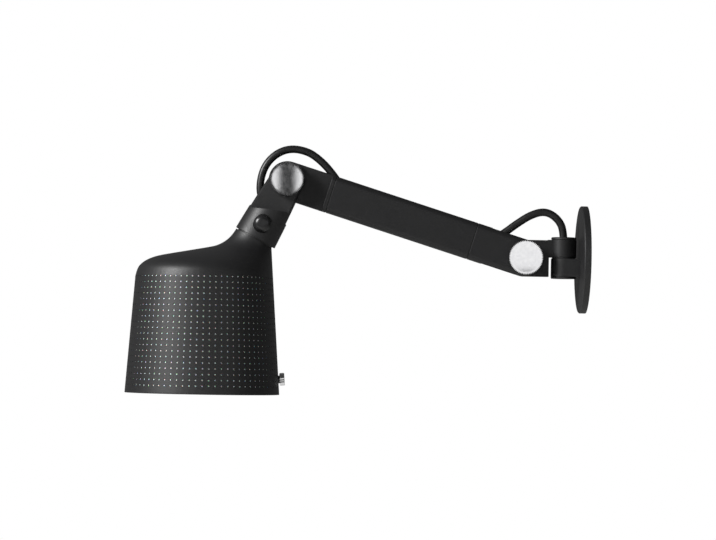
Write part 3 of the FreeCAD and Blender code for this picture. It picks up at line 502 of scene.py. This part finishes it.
def plainFinish(name, dark, light, lump, rough, bumpDepth=0.00003, metallic=0.0, fixed=None):
    # two close tones and a little unevenness, in lumps of this many millimetres
    material, tree, shader, place = newMaterial(name)
    fine = grain(tree, place, lump, 3.0).outputs[0]
    tree.links.new(twoTone(tree, fine, dark, light), shader.inputs["Base Color"])
    uneven = spread(tree, fine, rough - 0.05, rough + 0.05)
    tree.links.new(uneven.outputs[0], shader.inputs["Roughness"])
    bump = addNode(tree, "ShaderNodeBump", {"Height": fine, "Strength": 0.3, "Distance": bumpDepth})
    tree.links.new(bump.outputs[0], shader.inputs["Normal"])
    shader.inputs["Metallic"].default_value = metallic
    for socket, value in (fixed or {}).items():
        shader.inputs[socket].default_value = value
    return material


coat = powderCoat("blackPowderCoat", 0.5)
# the arm's coat is flatter than the shade's
armCoat = powderCoat("blackArmCoat", 0.36)
finishes = {
    # smooth PVC jacket: a soft even shine along the top of each bend
    "blackCordJacket": plainFinish("blackCordJacket", "#101010", "#181818", 2.5, 0.4,
                                   fixed={"Specular IOR Level": 0.38}),
    # satin moulded ABS: finer and a little glossier than the coat
    "blackAbs": plainFinish("blackAbs", "#121213", "#1a1a1b", 0.6, 0.32),
    # opal acrylic, extruded: white, slightly translucent, so that each hole shows light
    "opalAcrylic": plainFinish("opalAcrylic", "#f1f0ec", "#f8f7f4", 4.0, 0.42,
                               fixed={"Subsurface Weight": 0.3, "Subsurface Scale": 0.002}),
    # zinc plate, bright with a faint blue-grey mottle
    "zincPlatedSteel": plainFinish("zincPlatedSteel", "#a9adb0", "#c3c6c8", 1.5, 0.3,
                                   metallic=1.0),
    # glass-filled nylon: dull black with a dry surface
    "blackNylon": plainFinish("blackNylon", "#1a1a1a", "#252525", 0.5, 0.6),
    # turned brass, lacquered
    "turnedBrass": plainFinish("turnedBrass", "#b9924e", "#cda866", 1.0, 0.28, metallic=1.0),
    # brass coloured near-black as painted shade for the gap under the collar, where only a thin
    # line of it shows
    "brassPaintedGapShade": plainFinish("brassPaintedGapShade", "#101010", "#191817", 0.8, 0.5),
    # rolled aluminium thread of the bulb's cap
    "rolledAluminium": plainFinish("rolledAluminium", "#b4b4b6", "#cfcfd1", 1.0, 0.35,
                                   metallic=1.0),
    # opal glass, flashed white inside: glossy outside, milky below
    "opalGlass": plainFinish("opalGlass", "#f0efeb", "#f7f6f3", 8.0, 0.18, 0.00001,
                             fixed={"Coat Weight": 0.6, "Coat Roughness": 0.05}),
}
knobFace = knobShape["back"] - knobShape["band"]


def clampKnobFinish(name, pivot):
    return turnedAluminium(name, (pivot[0], knobFace, pivot[1]), (1, 0, 1))


# nodes whose finish isn't their slot's
nodeFinish = {
    # the spigot's flange is near-black as painted shade in the gap under the collar
    "head_spigot": finishes["brassPaintedGapShade"],
    "arm_fork": armCoat, "arm_tube": armCoat, "arm_tongue": armCoat, "swivel_block": armCoat,
    "wall_clamp_knob": clampKnobFinish("turnedAluminiumWall", knobShape["wall"]),
    "elbow_clamp_knob": clampKnobFinish("turnedAluminiumElbow", knobShape["elbow"]),
    "dimmer_knob": turnedAluminium("turnedAluminiumDimmer", (-283.6, 0, -116.3), (0, 1, 1)),
}
slotFinish = {
    "black_powder_coat": coat, "coated_aluminium": coat,
    "black_plastic": finishes["blackAbs"], "white_plastic": finishes["opalAcrylic"],
    "cord_rubber": finishes["blackCordJacket"], "zinc_steel": finishes["zincPlatedSteel"],
    "nylon": finishes["blackNylon"], "brass": finishes["turnedBrass"],
    "bulb_metal": finishes["rolledAluminium"], "bulb_glass": finishes["opalGlass"],
}


def giveMaterial(obj, material):
    obj.data.materials.clear()
    obj.data.materials.append(material)


for part in frame["record"]["subparts"]:
    node = part["node"]
    finish = nodeFinish.get(node) or slotFinish[part["material_slot"]]
    giveMaterial(frame["nodes"][node], finish)
giveMaterial(shade, coat)
giveMaterial(pips, finishes["opalAcrylic"])
giveMaterial(wallKnob, nodeFinish["wall_clamp_knob"])
giveMaterial(elbowKnob, nodeFinish["elbow_clamp_knob"])
for cord in (wallCord, elbowCord):
    giveMaterial(cord, finishes["blackCordJacket"])
print("materials set")


# what moves with what
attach(shade, "shade")
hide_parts("shade")
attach(pips, "shade")
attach(wallKnob, "wall_knob")
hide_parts("wall_clamp_knob")
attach(elbowKnob, "elbow_knob")
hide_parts("elbow_clamp_knob")
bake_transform(wallCord)
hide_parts("cord_wall_loop")
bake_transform(elbowCord)
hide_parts("cord_elbow_loop")


# floor and light; roomLight falls on everything, and gloss mirrors frontShine and sideShine
studio = {
    "floorHeight": -900, "floorSize": 6000,
    "key": {"place": (-2350, -1350, 1250), "size": (900, 900), "watts": 118},
    "fill": {"place": (1500, -2200, 400), "size": (1200, 1200), "watts": 5},
    "leftPanel": {"place": (-965, -3600, 480), "size": (1000, 1200), "watts": 3.9},
    "rightPanel": {"place": (355, -3600, 480), "size": (1000, 1200), "watts": 3.9},
    "aim": (-230, 0, 0), "roomLight": 0.07, "frontShine": 0.04, "sideShine": 0.14,
}


def makeLight(name):
    values = studio[name]
    data = bpy.data.lights.new(name, "AREA")
    data.shape = "RECTANGLE"
    data.size, data.size_y = [side * mm for side in values["size"]]
    data.energy = values["watts"]
    obj = bpy.data.objects.new(name, data)
    bpy.context.scene.collection.objects.link(obj)
    obj.location = Vector(values["place"]) * mm
    # the panels face the lamp squarely, and the other two are aimed at it
    ahead = Vector((0, 1, 0))
    if not name.endswith("Panel"):
        ahead = Vector(studio["aim"]) * mm - obj.location
    obj.rotation_euler = ahead.to_track_quat("-Z", "Y").to_euler()
    obj.visible_camera = False


def makeFloor():
    bpy.ops.object.select_all(action="DESELECT")
    bpy.ops.mesh.primitive_plane_add(
        size=studio["floorSize"] * mm,
        location=(studio["aim"][0] * mm, 0, studio["floorHeight"] * mm))
    floor = bpy.context.view_layer.objects.active
    floor.name = "floor"
    material, tree, shader, place = newMaterial("paleFloor")
    mottle = grain(tree, place, 400, 3.0).outputs[0]
    tree.links.new(twoTone(tree, mottle, "#f1f1ef", "#f6f6f4"), shader.inputs["Base Color"])
    shader.inputs["Roughness"].default_value = 0.8
    giveMaterial(floor, material)


def makeWorld():
    # white behind the lamp for the camera, and a plain dim room for the light that falls on it
    world = bpy.data.worlds.new("studio")
    bpy.context.scene.world = world
    world.use_nodes = True
    tree = world.node_tree
    tree.nodes.clear()
    rays = addNode(tree, "ShaderNodeLightPath")
    seen = addNode(tree, "ShaderNodeMath", {
        0: rays.outputs["Is Camera Ray"], 1: rays.outputs["Is Transmission Ray"]},
        operation="MAXIMUM")
    sky = addNode(tree, "ShaderNodeTexCoord").outputs["Generated"]
    toward = addNode(tree, "ShaderNodeSeparateXYZ", {0: sky})
    shine = addNode(tree, "ShaderNodeMapRange", {
        "Value": toward.outputs["Y"], "From Min": -0.4, "From Max": -1.0,
        "To Min": studio["sideShine"], "To Max": studio["frontShine"]})
    room = addNode(tree, "ShaderNodeMix", {
        0: rays.outputs["Is Glossy Ray"], 2: studio["roomLight"], 3: shine.outputs[0]})
    strength = addNode(tree, "ShaderNodeMath", {0: room.outputs[0], 1: seen.outputs[0]},
                       operation="MAXIMUM")
    back = addNode(tree, "ShaderNodeBackground", {
        "Color": hexColour("#ffffff"), "Strength": strength.outputs[0]})
    addNode(tree, "ShaderNodeOutputWorld", {"Surface": back.outputs[0]})


makeFloor()
makeWorld()
for lamp in ("key", "fill", "leftPanel", "rightPanel"):
    makeLight(lamp)
bpy.context.scene.view_settings.view_transform = "Standard"
print("floor and light set")
